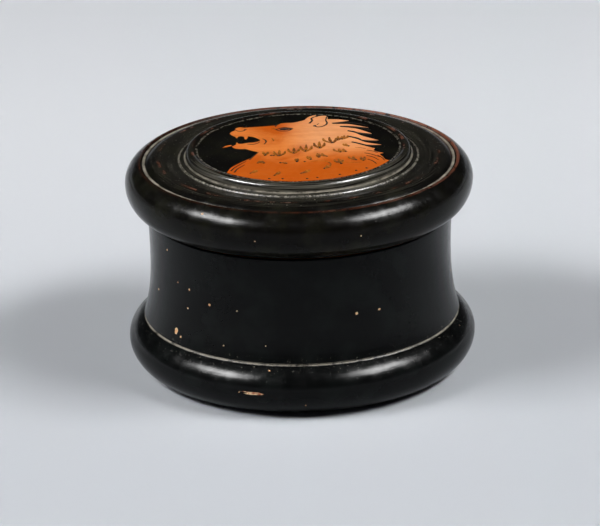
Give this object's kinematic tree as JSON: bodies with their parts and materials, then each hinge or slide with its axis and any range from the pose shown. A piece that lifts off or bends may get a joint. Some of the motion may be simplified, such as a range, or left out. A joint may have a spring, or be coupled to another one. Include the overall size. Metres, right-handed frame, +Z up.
{
  "type": "pyxis",
  "caption": "Round lidded box of black-glossed fired clay: waisted wall, heavy foot roll, deep cup, and a moulded lid with a raised medallion that lifts off.",
  "frame": {"origin": "centre of the flat resting ring under the box, on the axis of the vessel", "axes": "+Z up along the axis; the pictured front faces -Y, with +X to its right"},
  "size_m": [0.0902, 0.0902, 0.0586],
  "materials": {
    "box_gloss": "gloss",
    "lid_gloss": "gloss",
    "reserved_clay": "satin"
  },
  "bodies": {
    "box": {"box": "box_gloss"},
    "lid": {"lid": "lid_gloss"}
  },
  "joints": [
    {"name": "lid_lift", "type": "slide", "parent": "box", "child": "lid", "axis": [0, 0, 1], "range_m": [0, 0.06]}
  ]
}
